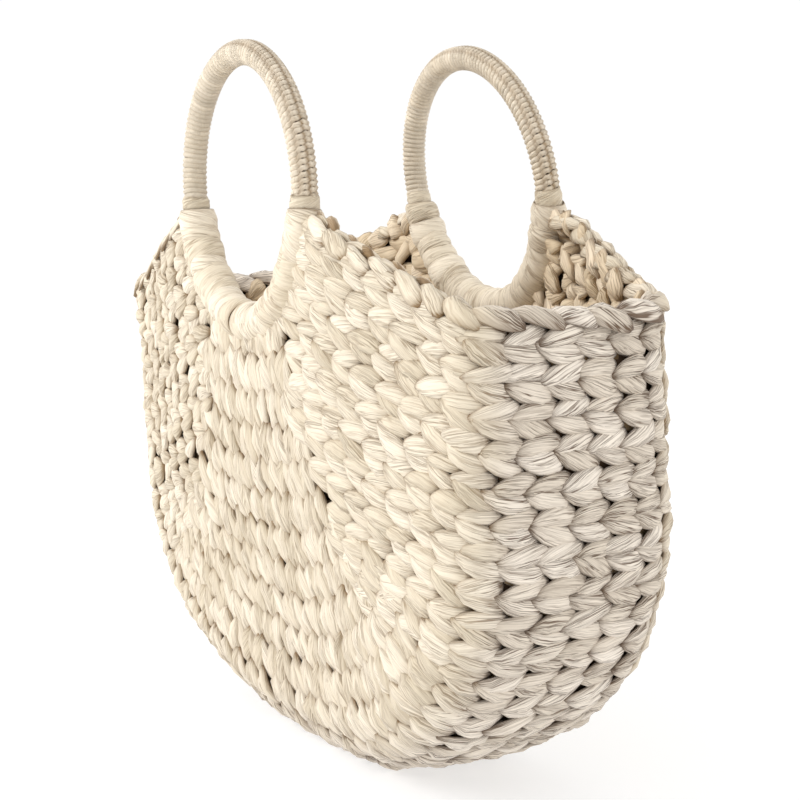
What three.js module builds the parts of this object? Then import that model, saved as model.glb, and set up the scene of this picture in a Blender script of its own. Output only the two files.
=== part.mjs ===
// Straw basket bag: a half-moon tote crocheted from flat paper straw, with two wound ring handles.
// Millimetres, +Z up. The origin is the middle of the footprint, on the surface the bag stands on.
// The width runs along X and the depth along Y, and the face with the upright ring is towards -Y.
// Columns of stitches fan out from the lower arc of each ring, run down the panel, turn the corner
// and cross the side and base to the other panel. The body is a net of such columns, given a wall.

import * as THREE from 'three';

// Crocheted body, seen from the front: a half-moon outline that rises to straight sides.
const HALF_WIDTH = 190;
const WIDEST_HEIGHT = 134.5;
const OUTLINE_BASE = 0.5;
const OUTLINE_SQUARENESS = 2.18;
const RIM_HALF_WIDTH = 189;
const RIM_HEIGHT = 223.5;

// Crocheted body, seen from the side: half its depth at the base, at the middle and at the rim of
// the outline. Reach is the share of the way from the middle of the base to the end of the rim.
const BASE_HALF_DEPTH = 48;
const MIDDLE_HALF_DEPTH = 56.4;
const RIM_HALF_DEPTH = 55.4;
const DEPTHS = [
  { reach: 0, depth: BASE_HALF_DEPTH },
  { reach: 0.5, depth: MIDDLE_HALF_DEPTH },
  { reach: 1, depth: RIM_HALF_DEPTH },
];
const CORNER_RADIUS = 30;
const FRONT_RIM_CORNER_RADIUS = 14;
const CORNER_TIGHTENS_FROM = 0.66;
const SIDE_BULGE = 4;
const PANEL_BULGE = 2;

// Wall and stitches.
const WALL = 8;
const STITCH_WIDTH = 15;
const RIB_DEPTH = 1.8;
const RIB_FADE_HEIGHT = 12;

// Ring handles. A lean is in degrees, positive where the ring's top comes to the middle of the bag.
const RING_RADIUS = 65;
const RING_RISE = 57;
const RING_SPREAD = 65.5;
const FRONT_RING_LEAN = -1;
const BACK_RING_LEAN = 8.8;
const CORD_THICKNESS = 12.8;
const STRAW_THICKNESS = 17.5;
const STRAW_STRIP = 11;
const STRAW_RELIEF = 1;
const STRAW_SWELL = 14;
const WINDING_CHANGE = -3;
const BODY_SEAT_END = 12;

// Braided edging along both ends of the mouth.
const EDGING_HEIGHT = 7;
const EDGING_WIDTH = 9.5;
const EDGING_SETBACK = 1.5;

const CLEARANCE = 0.3;
const SLACK = 1e-9;

// How finely the shapes are divided.
const OUTLINE_STEPS = 90;
const PANEL_SHARES = [0, 0.14, 0.3, 0.48, 0.66, 0.83, 1];
const CORNER_STEPS = 3;
const SIDE_STEPS = 4;
const CORD_STEPS = 20;
const WINDING_SIDES = 8;

const RING_HEIGHT = RIM_HEIGHT + RING_RISE;
const SEAT_RADIUS = RING_RADIUS + STRAW_THICKNESS / 2 + CLEARANCE;
const FRONT = -1;
const BACK = 1;

const STRAW_COLOUR = 0xefe3cd;
const CORD_COLOUR = 0xdfcfae;
const BINDING_COLOUR = 0xe9dcc3;
const EDGING_COLOUR = 0xe6d9c2;

function smooth(share) {
  return share * share * (3 - 2 * share);
}

// A point in the plane of a leaning ring, at a distance and an angle from the ring's centre.
function ringPoint(face, radius, angle) {
  const lean = THREE.MathUtils.degToRad(face === FRONT ? FRONT_RING_LEAN : BACK_RING_LEAN);
  const rise = radius * Math.sin(angle);
  return new THREE.Vector3(
    radius * Math.cos(angle),
    face * (RING_SPREAD - rise * Math.sin(lean)),
    RING_HEIGHT + rise * Math.cos(lean),
  );
}

// Right half of the outline, from the middle of the base to the end of the rim, as X and Z.
function halfOutline() {
  const points = [];
  for (let step = 0; step <= OUTLINE_STEPS; step += 1) {
    const angle = (step / OUTLINE_STEPS) * (Math.PI / 2);
    points.push(new THREE.Vector2(
      HALF_WIDTH * Math.sin(angle) ** (2 / OUTLINE_SQUARENESS),
      WIDEST_HEIGHT - (WIDEST_HEIGHT - OUTLINE_BASE) * Math.cos(angle) ** (2 / OUTLINE_SQUARENESS),
    ));
  }
  points.push(new THREE.Vector2(RIM_HALF_WIDTH, RIM_HEIGHT));
  return new THREE.Path(points);
}

const OUTLINE = halfOutline();
const COLUMNS = 2 * Math.round(OUTLINE.getLength() / STITCH_WIDTH);

// Half the depth of the body where a column crosses the outline, eased from each size to the next.
function halfDepth(reach) {
  const next = DEPTHS.findIndex((row, k) => k > 0 && reach <= row.reach + SLACK);
  const from = DEPTHS[next - 1];
  const to = DEPTHS[next];
  const share = (reach - from.reach) / (to.reach - from.reach);
  return THREE.MathUtils.lerp(from.depth, to.depth, smooth(share));
}

// Radius of the turn from a panel to the side. On the front it grows tighter towards the rim.
function cornerRadius(face, reach) {
  const share = Math.max(0, (reach - CORNER_TIGHTENS_FROM) / (1 - CORNER_TIGHTENS_FROM));
  const atRim = face === FRONT ? FRONT_RIM_CORNER_RADIUS : CORNER_RADIUS;
  return THREE.MathUtils.lerp(CORNER_RADIUS, atRim, smooth(share));
}

// One panel's share of a column: down from the ring, then round the corner. Column runs from -1 at
// the left end of the rim, through 0 at the middle of the base, to 1 at the right end.
function panelStretch(face, column) {
  const reach = Math.abs(column);
  const seatArc = Math.PI / 2 - THREE.MathUtils.degToRad(BODY_SEAT_END);
  const start = ringPoint(face, SEAT_RADIUS, -Math.PI / 2 + column * seatArc);
  const startDepth = Math.abs(start.y) + WALL / 2;
  const turn = OUTLINE.getPoint(reach);
  turn.x *= Math.sign(column);
  const depth = halfDepth(reach);
  const corner = cornerRadius(face, reach);
  const run = new THREE.Vector2(turn.x - start.x, turn.y - start.z);
  const length = run.length();
  run.normalize();
  const place = (along, out) => {
    const swell = SIDE_BULGE * Math.max(0, 1 - (out / depth) ** 2);
    const far = along > length - corner ? along + swell : along;
    return new THREE.Vector3(start.x + run.x * far, face * out, start.z + run.y * far);
  };
  const points = PANEL_SHARES.map((share) => place(
    share * (length - corner),
    THREE.MathUtils.lerp(startDepth, depth, smooth(share)) + PANEL_BULGE * Math.sin(Math.PI * share),
  ));
  for (let step = 1; step <= CORNER_STEPS; step += 1) {
    const angle = (step / CORNER_STEPS) * (Math.PI / 2);
    points.push(place(
      length - corner + corner * Math.sin(angle),
      depth - corner + corner * Math.cos(angle),
    ));
  }
  return points;
}

// A whole column, from the front ring across the side or base to the back ring.
function crossing(column) {
  const front = panelStretch(FRONT, column);
  const back = panelStretch(BACK, column).reverse();
  const from = front[front.length - 1];
  const to = back[0];
  const depth = halfDepth(Math.abs(column));
  const swellAt = (y) => SIDE_BULGE * (1 - (y / depth) ** 2);
  const outward = from.clone().sub(front[front.length - 1 - CORNER_STEPS]).setY(0).normalize();
  const side = [];
  for (let step = 1; step < SIDE_STEPS; step += 1) {
    const share = step / SIDE_STEPS;
    const point = from.clone().lerp(to, share);
    const cornerSwell = THREE.MathUtils.lerp(swellAt(from.y), swellAt(to.y), share);
    side.push(point.addScaledVector(outward, swellAt(point.y) - cornerSwell));
  }
  return [...front, ...side, ...back].map((point) => point.setZ(Math.max(0, point.z)));
}

// The outside of the body as a net of points, two steps to a column of stitches.
function bodyNet() {
  const net = [];
  const steps = 2 * COLUMNS;
  for (let step = 0; step <= steps; step += 1) {
    net.push(crossing((2 * step) / steps - 1));
  }
  return net;
}

// Direction out of the net at one of its points.
function netNormal(net, i, j) {
  const row = net[i];
  const across = net[Math.min(i + 1, net.length - 1)][j].clone().sub(net[Math.max(i - 1, 0)][j]);
  const along = row[Math.min(j + 1, row.length - 1)].clone().sub(row[Math.max(j - 1, 0)]);
  return along.cross(across).normalize();
}

// How far a point sinks between two columns of stitches. The ribs fade out towards the rings, where
// the columns run together, and towards the flat of the base.
function ribSink(net, i, j) {
  const betweenColumns = i % 2 === 0 && i > 0 && i < net.length - 1;
  const last = net[i].length - 1;
  const fromRing = Math.min(1, Math.min(j, last - j) / (PANEL_SHARES.length - 1));
  const aboveBase = Math.min(1, net[i][j].z / RIB_FADE_HEIGHT);
  return betweenColumns ? RIB_DEPTH * fromRing * aboveBase : 0;
}

function meshOf(vertices, triangles) {
  const geometry = new THREE.BufferGeometry();
  const numbers = vertices.flatMap((vertex) => [vertex.x, vertex.y, vertex.z]);
  geometry.setAttribute('position', new THREE.Float32BufferAttribute(numbers, 3));
  geometry.setIndex(triangles);
  geometry.computeVertexNormals();
  return geometry;
}

// A closed wall between two nets of the same size, the first one outside.
function wallBetween(outer, inner) {
  const rows = outer.length;
  const width = outer[0].length;
  const vertices = [...outer.flat(), ...inner.flat()];
  const triangles = [];
  const outAt = (i, j) => i * width + j;
  const inAt = (i, j) => rows * width + outAt(i, j);
  const quad = (a, b, c, d) => triangles.push(a, b, c, a, c, d);
  for (let i = 0; i < rows - 1; i += 1) {
    for (let j = 0; j < width - 1; j += 1) {
      quad(outAt(i, j), outAt(i, j + 1), outAt(i + 1, j + 1), outAt(i + 1, j));
      quad(inAt(i, j), inAt(i + 1, j), inAt(i + 1, j + 1), inAt(i, j + 1));
    }
    quad(outAt(i, 0), outAt(i + 1, 0), inAt(i + 1, 0), inAt(i, 0));
    quad(outAt(i + 1, width - 1), outAt(i, width - 1), inAt(i, width - 1), inAt(i + 1, width - 1));
  }
  for (let j = 0; j < width - 1; j += 1) {
    quad(outAt(0, j + 1), outAt(0, j), inAt(0, j), inAt(0, j + 1));
    quad(outAt(rows - 1, j), outAt(rows - 1, j + 1), inAt(rows - 1, j + 1), inAt(rows - 1, j));
  }
  return meshOf(vertices, triangles);
}

// A closed solid through a row of sections, each a loop of as many points.
function loft(sections) {
  const sides = sections[0].length;
  const triangles = [];
  const at = (section, point) => section * sides + (point % sides);
  for (let section = 0; section < sections.length - 1; section += 1) {
    for (let point = 0; point < sides; point += 1) {
      triangles.push(at(section, point), at(section, point + 1), at(section + 1, point + 1));
      triangles.push(at(section, point), at(section + 1, point + 1), at(section + 1, point));
    }
  }
  const end = sections.length - 1;
  for (let point = 1; point < sides - 1; point += 1) {
    triangles.push(at(0, 0), at(0, point + 1), at(0, point));
    triangles.push(at(end, 0), at(end, point), at(end, point + 1));
  }
  return meshOf(sections.flat(), triangles);
}

function bodyShell(net) {
  const outer = net.map((row, i) => row.map(
    (point, j) => point.clone().addScaledVector(netNormal(net, i, j), -ribSink(net, i, j)),
  ));
  const inner = net.map((row, i) => row.map(
    (point, j) => point.clone().addScaledVector(netNormal(net, i, j), -WALL),
  ));
  return wallBetween(outer, inner);
}

// A winding round part of a ring, from one angle to another, with a radius for each step.
function winding(face, from, to, steps, radiusAt) {
  const sections = [];
  for (let step = 0; step <= steps; step += 1) {
    const angle = THREE.MathUtils.lerp(from, to, step / steps);
    const centre = ringPoint(face, RING_RADIUS, angle);
    const away = ringPoint(face, 1, angle).sub(ringPoint(face, 0, angle));
    const along = ringPoint(face, 1, angle + Math.PI / 2).sub(ringPoint(face, 0, angle));
    const aside = along.clone().cross(away);
    const section = [];
    for (let side = 0; side < WINDING_SIDES; side += 1) {
      const turn = (side / WINDING_SIDES) * 2 * Math.PI;
      const offset = away.clone().multiplyScalar(Math.cos(turn)).addScaledVector(aside, Math.sin(turn));
      section.push(centre.clone().addScaledVector(offset, radiusAt(step)));
    }
    sections.push(section);
  }
  return loft(sections);
}

const CHANGE_ANGLE = THREE.MathUtils.degToRad(WINDING_CHANGE);
const CHANGE_GAP = CLEARANCE / RING_RADIUS;

function cordWinding(face) {
  const radiusAt = () => CORD_THICKNESS / 2;
  return winding(face, CHANGE_ANGLE, Math.PI - CHANGE_ANGLE, CORD_STEPS, radiusAt);
}

// The binding starts as thick as the cord and swells to its full thickness.
function strawWinding(face) {
  const from = Math.PI - CHANGE_ANGLE + CHANGE_GAP;
  const to = 2 * Math.PI + CHANGE_ANGLE - CHANGE_GAP;
  const length = (to - from) * RING_RADIUS;
  const steps = 2 * Math.round(length / STRAW_STRIP);
  const crest = STRAW_THICKNESS / 2;
  const radiusAt = (step) => {
    const fromEnd = (Math.min(step, steps - step) / steps) * length;
    const swell = smooth(Math.min(1, fromEnd / STRAW_SWELL));
    const start = CORD_THICKNESS / 2;
    return start + (crest - start) * swell - (step % 2 === 1 ? 0 : STRAW_RELIEF * swell);
  };
  return winding(face, from, to, steps, radiusAt);
}

// The braid along one end of the mouth, seated on the edge of the wall from ring to ring.
function rimEdging(net, end) {
  const i = end > 0 ? net.length - 1 : 0;
  const row = net[i];
  const last = row.length - 1;
  const sections = row.map((point, j) => {
    const out = netNormal(net, i, j);
    const along = row[Math.min(j + 1, last)].clone().sub(row[Math.max(j - 1, 0)]).normalize();
    const up = out.clone().cross(along).multiplyScalar(end).normalize();
    const setback = (j === 0 ? 1 : 0) - (j === last ? 1 : 0);
    const centre = point.clone()
      .addScaledVector(out, -WALL / 2)
      .addScaledVector(up, CLEARANCE + EDGING_HEIGHT / 2)
      .addScaledVector(along, setback * EDGING_SETBACK);
    const aside = along.clone().cross(out);
    const section = [];
    for (let side = 0; side < WINDING_SIDES; side += 1) {
      const turn = ((side + 0.5) / WINDING_SIDES) * 2 * Math.PI;
      const reach = 1 / Math.cos(Math.PI / WINDING_SIDES);
      section.push(centre.clone()
        .addScaledVector(out, (EDGING_WIDTH / 2) * reach * Math.cos(turn))
        .addScaledVector(aside, (EDGING_HEIGHT / 2) * reach * Math.sin(turn)));
    }
    return section;
  });
  return loft(sections);
}

function piece(name, geometry, colour, roughness) {
  const material = new THREE.MeshStandardMaterial({ color: colour, roughness, metalness: 0 });
  const mesh = new THREE.Mesh(geometry, material);
  mesh.name = name;
  return mesh;
}

function ringHandle(face, label) {
  const handle = new THREE.Group();
  handle.add(piece(`${label}_ring_cord_winding`, cordWinding(face), CORD_COLOUR, 0.8));
  handle.add(piece(`${label}_ring_straw_binding`, strawWinding(face), BINDING_COLOUR, 0.65));
  return handle;
}

// The bag stands over the origin, so it is moved until its footprint's box is centred there.
function basketBag() {
  const net = bodyNet();
  const bag = new THREE.Group();
  bag.add(piece('basket_body', bodyShell(net), STRAW_COLOUR, 0.7));
  bag.add(piece('rim_edging_left', rimEdging(net, -1), EDGING_COLOUR, 0.7));
  bag.add(piece('rim_edging_right', rimEdging(net, 1), EDGING_COLOUR, 0.7));
  bag.add(ringHandle(FRONT, 'front'));
  bag.add(ringHandle(BACK, 'back'));
  const middle = new THREE.Box3().setFromObject(bag).getCenter(new THREE.Vector3());
  bag.position.set(-middle.x, -middle.y, 0);
  return bag;
}

export default basketBag();
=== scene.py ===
"""Straw basket bag: crocheted V stitches, braided rims, corded and straw-wound ring handles.

Each operator makes one piece, or a group of like pieces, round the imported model. Lengths are in metres.
"""

from functools import partial
import math

import bpy
import numpy as np
from mathutils import Matrix, Vector


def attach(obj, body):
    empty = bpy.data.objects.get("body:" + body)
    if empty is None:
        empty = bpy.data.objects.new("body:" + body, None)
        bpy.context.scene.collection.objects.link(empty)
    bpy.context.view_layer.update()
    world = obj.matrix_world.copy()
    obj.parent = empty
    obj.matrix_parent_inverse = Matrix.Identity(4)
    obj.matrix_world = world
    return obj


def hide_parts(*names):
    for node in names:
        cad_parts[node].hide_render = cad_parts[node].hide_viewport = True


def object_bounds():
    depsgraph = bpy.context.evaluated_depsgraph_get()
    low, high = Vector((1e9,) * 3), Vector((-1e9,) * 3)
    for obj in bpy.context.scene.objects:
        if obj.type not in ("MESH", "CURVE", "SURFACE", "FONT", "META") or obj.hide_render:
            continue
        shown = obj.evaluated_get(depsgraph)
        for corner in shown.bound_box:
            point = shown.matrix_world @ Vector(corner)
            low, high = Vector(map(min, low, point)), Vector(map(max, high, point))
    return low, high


bl_info = {
    "name": "Straw Basket Bag",
    "version": (1, 0, 0),
    "blender": (4, 5, 0),
    "location": "View3D > Sidebar > Basket Bag",
    "description": "Stitches, braids and windings of a crocheted straw bag",
    "category": "Add Mesh",
}

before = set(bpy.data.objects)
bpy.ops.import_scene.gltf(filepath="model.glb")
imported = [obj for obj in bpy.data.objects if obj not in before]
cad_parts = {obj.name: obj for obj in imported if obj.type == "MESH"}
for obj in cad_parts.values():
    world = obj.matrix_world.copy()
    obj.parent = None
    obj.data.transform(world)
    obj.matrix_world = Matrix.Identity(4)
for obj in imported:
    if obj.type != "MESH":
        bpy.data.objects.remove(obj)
CAD_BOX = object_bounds()

# The body's shape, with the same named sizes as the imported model's.
HALF_WIDTH = 0.190
WIDEST_HEIGHT = 0.1345
OUTLINE_BASE = 0.0005
OUTLINE_SQUARENESS = 2.18
OUTLINE_STEPS = 400
RIM_HALF_WIDTH = 0.189
RIM_HEIGHT = 0.2235
DEPTH_REACHES = (0.0, 0.5, 1.0)
HALF_DEPTHS = (0.048, 0.0564, 0.0554)
CORNER_RADIUS = 0.030
FRONT_RIM_CORNER_RADIUS = 0.014
CORNER_TIGHTENS_FROM = 0.66
SIDE_BULGE = 0.004
PANEL_BULGE = 0.002
WALL = 0.008
RING_RADIUS = 0.065
RING_HEIGHT = 0.2805
RING_SPREAD = 0.0655
FRONT, BACK = -1, 1
RING_LEAN = {FRONT: math.radians(-1), BACK: math.radians(8.8)}
CORD_RADIUS = 0.0064
BINDING_RADIUS = 0.00875
SEAT_RADIUS = RING_RADIUS + BINDING_RADIUS + 0.0003
SEAT_ARC = math.radians(78)
WINDING_CHANGE = math.radians(-3)
STRAW_SWELL = 0.014


def middle_plane():
    """Y of the plane between the two faces: the widest point of the side lies on it."""
    widest = max(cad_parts["basket_body"].data.vertices, key=lambda vertex: vertex.co.x)
    return widest.co.y


MIDDLE_Y = middle_plane()

# A column is followed in steps. From its corner it turns into line with its neighbours over the turn
# length, and at a ring it goes on under the binding.
STEP = 0.002
TURN_LENGTH = 0.035
RUN_ON = 0.016
SEAT_TUCK = 0.0035
SETTLE = 0.0007
LONGEST_COLUMN = 0.3
FAN_HALVINGS = 36
# X and Z of the curved seam on a panel, between the side columns and the centre ones.
MITER = ((0.0414, 0.219), (0.060, 0.122), (0.155, 0.050))


class StitchSizes(bpy.types.PropertyGroup):
    """Sizes of the crocheted stitches"""
    column_width: bpy.props.FloatProperty(
        name="Column Width", description="Width of one column of V stitches along the outline",
        default=0.015, min=0.008, max=0.03, subtype="DISTANCE", unit="LENGTH")
    pitch: bpy.props.FloatProperty(
        name="Stitch Pitch", description="Length of column that one V stitch takes",
        default=0.0172, min=0.008, max=0.04, subtype="DISTANCE", unit="LENGTH")
    leg_length: bpy.props.FloatProperty(
        name="Leg Length", description="Length of one leg of a V, with both tucked ends",
        default=0.0262, min=0.01, max=0.05, subtype="DISTANCE", unit="LENGTH")
    leg_width: bpy.props.FloatProperty(
        name="Leg Width", description="Width of one leg of a V",
        default=0.0098, min=0.003, max=0.02, subtype="DISTANCE", unit="LENGTH")
    leg_thickness: bpy.props.FloatProperty(
        name="Leg Thickness", description="Thickness of one leg of a V",
        default=0.0058, min=0.002, max=0.01, subtype="DISTANCE", unit="LENGTH")
    spread: bpy.props.FloatProperty(
        name="Spread", description="Angle of each leg to its column",
        default=math.radians(11.5), min=0, max=math.radians(40), subtype="ANGLE", unit="ROTATION")
    knot_length: bpy.props.FloatProperty(
        name="Inner Knot Length", description="Length of the plump loops on the inside of the wall",
        default=0.0215, min=0.01, max=0.04, subtype="DISTANCE", unit="LENGTH")
    knot_width: bpy.props.FloatProperty(
        name="Inner Knot Width", description="Width of the plump loops on the inside of the wall",
        default=0.0100, min=0.005, max=0.02, subtype="DISTANCE", unit="LENGTH")


class HandleSizes(bpy.types.PropertyGroup):
    """Sizes of the windings on the two rings and of the braids on the mouth"""
    cord_pitch: bpy.props.FloatProperty(
        name="Cord Pitch", description="Distance from one turn of the cord to the next",
        default=0.0027, min=0.001, max=0.01, subtype="DISTANCE", unit="LENGTH")
    cord_slant: bpy.props.FloatProperty(
        name="Cord Slant", description="How far a turn of cord leans along the ring",
        default=0.0016, min=0, max=0.01, subtype="DISTANCE", unit="LENGTH")
    wrap_pitch: bpy.props.FloatProperty(
        name="Wrap Pitch", description="Distance from one straw wrap to the next",
        default=0.0088, min=0.003, max=0.03, subtype="DISTANCE", unit="LENGTH")
    wrap_width: bpy.props.FloatProperty(
        name="Wrap Width", description="Width of one straw wrap",
        default=0.0145, min=0.004, max=0.03, subtype="DISTANCE", unit="LENGTH")
    braid_leg: bpy.props.FloatProperty(
        name="Braid Leg", description="Length of one leg of the braid on the rim",
        default=0.0265, min=0.01, max=0.05, subtype="DISTANCE", unit="LENGTH")


class StrawColours(bpy.types.PropertyGroup):
    """Colours of the straw and of its shadows"""
    straw: bpy.props.FloatVectorProperty(
        name="Straw", description="Colour of the paper straw", size=3, subtype="COLOR",
        default=(0.85, 0.75, 0.59), min=0, max=1)
    # Painted shade: a greyer copy of the straw for the sides and base, standing in for their dimmer light.
    shaded_side_straw: bpy.props.FloatVectorProperty(
        name="Shaded Side Straw", description="Colour of the straw on the sides and base", size=3,
        subtype="COLOR", default=(0.87, 0.775, 0.655), min=0, max=1)
    inner_straw: bpy.props.FloatVectorProperty(
        name="Inner Straw", description="Colour of the straw inside the bag", size=3, subtype="COLOR",
        default=(0.88, 0.73, 0.53), min=0, max=1)
    # Painted shade: the colour the straw darkens to where it tucks under and in its creases; its fibre
    # grain is drawn in it too.
    fold: bpy.props.FloatVectorProperty(
        name="Fold", description="Colour of the straw where it tucks under", size=3, subtype="COLOR",
        default=(0.29, 0.185, 0.09), min=0, max=1)
    # Painted shade: a darker tuck colour for the sides and base, standing in for their dimmer light.
    side_fold_shade: bpy.props.FloatVectorProperty(
        name="Side Fold", description="Colour of the straw on the sides where it tucks under", size=3,
        subtype="COLOR", default=(0.17, 0.112, 0.072), min=0, max=1)
    # Painted shade: near-black straw that stands in for the shade between the stitches.
    gap: bpy.props.FloatVectorProperty(
        name="Gap Shade", description="Colour of the straw behind the stitches", size=3, subtype="COLOR",
        default=(0.05, 0.028, 0.014), min=0, max=1)
    cord: bpy.props.FloatVectorProperty(
        name="Cord", description="Colour of the twisted cord on the rings", size=3, subtype="COLOR",
        default=(0.86, 0.76, 0.61), min=0, max=1)


def sizes():
    return bpy.context.scene.bag_stitches


def handle_sizes():
    return bpy.context.scene.bag_handles


def colours():
    return bpy.context.scene.bag_colours


def smooth(share):
    return share * share * (3 - 2 * share)


# Shape of the body

def ring_point(face, radius, angle):
    """A point in the plane of a leaning ring, as an array with X, Y and Z last."""
    lean = RING_LEAN[face]
    rise = radius * np.sin(angle)
    x = radius * np.cos(angle)
    y = MIDDLE_Y + face * (RING_SPREAD - rise * math.sin(lean))
    return np.stack(np.broadcast_arrays(x, y, RING_HEIGHT + rise * math.cos(lean)), -1)


def half_outline():
    """The outline's right half, from the middle of the base to the end of the rim, with its shares."""
    angle = np.linspace(0, math.pi / 2, OUTLINE_STEPS)
    power = 2 / OUTLINE_SQUARENESS
    rise = WIDEST_HEIGHT - OUTLINE_BASE
    x = np.append(HALF_WIDTH * np.sin(angle) ** power, RIM_HALF_WIDTH)
    z = np.append(WIDEST_HEIGHT - rise * np.cos(angle) ** power, RIM_HEIGHT)
    length = np.append(0, np.cumsum(np.hypot(np.diff(x), np.diff(z))))
    return x, z, length / length[-1], length[-1]


OUTLINE_X, OUTLINE_Z, OUTLINE_SHARES, HALF_LENGTH = half_outline()


def outline_at(place):
    """X and Z of the outline at a signed place: -1 is the rim's left end and 1 its right end."""
    reach = np.abs(place)
    x = np.interp(reach, OUTLINE_SHARES, OUTLINE_X)
    return np.sign(place) * x, np.interp(reach, OUTLINE_SHARES, OUTLINE_Z)


def half_depth(place):
    """Distance of the two faces from the middle plane at a place on the outline."""
    reach = np.abs(place)
    depth = np.full(np.shape(reach), HALF_DEPTHS[0], float)
    for k in (0, 1):
        share = (reach - DEPTH_REACHES[k]) / (DEPTH_REACHES[k + 1] - DEPTH_REACHES[k])
        depth += (HALF_DEPTHS[k + 1] - HALF_DEPTHS[k]) * smooth(np.clip(share, 0, 1))
    return depth


def corner_radius(face, place):
    """Radius of the turn from a panel to the side. On the front it grows tighter towards the rim."""
    share = np.clip((np.abs(place) - CORNER_TIGHTENS_FROM) / (1 - CORNER_TIGHTENS_FROM), 0, 1)
    at_rim = FRONT_RIM_CORNER_RADIUS if face == FRONT else CORNER_RADIUS
    return CORNER_RADIUS + (at_rim - CORNER_RADIUS) * smooth(share)


def fan_line(face, place):
    """Start on the ring's seat, direction and length of the straight line to a place on the outline."""
    start = ring_point(face, SEAT_RADIUS, place * SEAT_ARC - math.pi / 2)
    x, z = outline_at(place)
    run_x, run_z = x - start[..., 0], z - start[..., 2]
    length = np.hypot(run_x, run_z)
    return start, run_x / length, run_z / length, length


def panel_depth(face, x, z):
    """Distance of a panel's outside from the middle plane at X and Z.

    The line of the fan that runs through the point is found by halving the range of places.
    """
    low, high = np.full(np.shape(x), -1.0), np.full(np.shape(x), 1.0)
    for _ in range(FAN_HALVINGS):
        middle = (low + high) / 2
        start, run_x, run_z, _length = fan_line(face, middle)
        right = run_x * (z - start[..., 2]) - run_z * (x - start[..., 0]) > 0
        low, high = np.where(right, middle, low), np.where(right, high, middle)
    start, run_x, run_z, length = fan_line(face, low)
    along = run_x * (x - start[..., 0]) + run_z * (z - start[..., 2])
    share = np.clip(along / (length - corner_radius(face, low)), 0, 1)
    start_depth = np.abs(start[..., 1] - MIDDLE_Y) + WALL / 2
    eased = start_depth + (half_depth(low) - start_depth) * smooth(share)
    return eased + PANEL_BULGE * np.sin(math.pi * share)


def outline_normal(place):
    """Direction out of the outline at a place, as X and Z."""
    nudge = 0.004
    before, after = outline_at(place - nudge), outline_at(place + nudge)
    if abs(place) > 1 - nudge:
        before, after = outline_at(place - 2 * nudge * np.sign(place)), outline_at(place)
        if place < 0:
            before, after = after, before
    step = np.array([after[0] - before[0], after[1] - before[1]])
    step /= np.linalg.norm(step)
    return np.array([step[1], -step[0]])


def miter_x(z):
    """X of the seam where the side columns meet the centre ones, on the right half."""
    share = np.linspace(0, 1, 40)
    first, bend, last = (np.array(point) for point in MITER)
    curve = (np.outer((1 - share) ** 2, first) + np.outer(2 * share * (1 - share), bend)
             + np.outer(share ** 2, last))
    return np.interp(z, curve[::-1, 1], curve[::-1, 0])


MITER_PLACE = float(np.interp(MITER[-1][0], OUTLINE_X[:OUTLINE_STEPS], OUTLINE_SHARES[:OUTLINE_STEPS]))
RIM_START = ring_point(FRONT, SEAT_RADIUS, SEAT_ARC - math.pi / 2)
RIM_RUN = np.array([RIM_START[0] - RIM_HALF_WIDTH, RIM_START[2] - RIM_HEIGHT])
RIM_RUN /= np.linalg.norm(RIM_RUN)
# The place whose outward direction is nearest to that of the side columns.
TRIED_PLACES = np.linspace(0.4, 0.95, 56)
STEEP_PLACE = float(TRIED_PLACES[np.argmax([outline_normal(p) @ -RIM_RUN for p in TRIED_PLACES])])


def side_run(place):
    """Direction of the side columns on a panel, inwards: they lie parallel to the sloping rim."""
    return np.array([np.sign(place) * RIM_RUN[0], RIM_RUN[1]])


def corner_lead(face, place):
    """Outward direction of a column as it turns the corner, and how much that shortens the corner."""
    normal = outline_normal(place)
    _start, run_x, run_z, _length = fan_line(face, place)
    lead = -side_run(place) if abs(place) > STEEP_PLACE else normal
    return lead, (run_x * normal[0] + run_z * normal[1]) / (lead @ normal)


def panel_line(face, place):
    """A column on a panel, from its corner inwards: X and Z of its points, and where it ends."""
    lead, shrink = corner_lead(face, place)
    x, z = outline_at(place)
    at = np.array([x, z]) - lead * corner_radius(face, place) * shrink
    is_side = abs(place) > MITER_PLACE
    family = side_run(place) if is_side else np.array([0.0, 1.0])
    points, end, travelled = [at], None, 0.0
    while end is None or travelled < end + RUN_ON:
        turned = smooth(min(1.0, travelled / TURN_LENGTH))
        heading = -lead * (1 - turned) + family * turned
        at = at + STEP * heading / np.linalg.norm(heading)
        travelled += STEP
        points.append(at)
        if end is None:
            lean = math.cos(RING_LEAN[face])
            in_seat = math.hypot(at[0], (at[1] - RING_HEIGHT) / lean) < SEAT_RADIUS - SEAT_TUCK
            past_miter = (abs(at[0]) < miter_x(at[1])) == is_side
            if in_seat or past_miter or travelled > LONGEST_COLUMN:
                end = travelled
    return np.array(points), end


def panel_points(face, place):
    """Places and outward normals of a column on a panel, from its corner inwards, and its length."""
    line, end = panel_line(face, place)
    x, z = line[:, 0], line[:, 1]
    depth = panel_depth(face, x, z)
    nudge = 0.001
    slope_x = (panel_depth(face, x + nudge, z) - panel_depth(face, x - nudge, z)) / (2 * nudge)
    slope_z = (panel_depth(face, x, z + nudge) - panel_depth(face, x, z - nudge)) / (2 * nudge)
    points = np.stack([x, face * depth, z], 1)
    normals = np.stack([-slope_x, np.full(len(x), float(face)), -slope_z], 1)
    return points, normals, end


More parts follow.
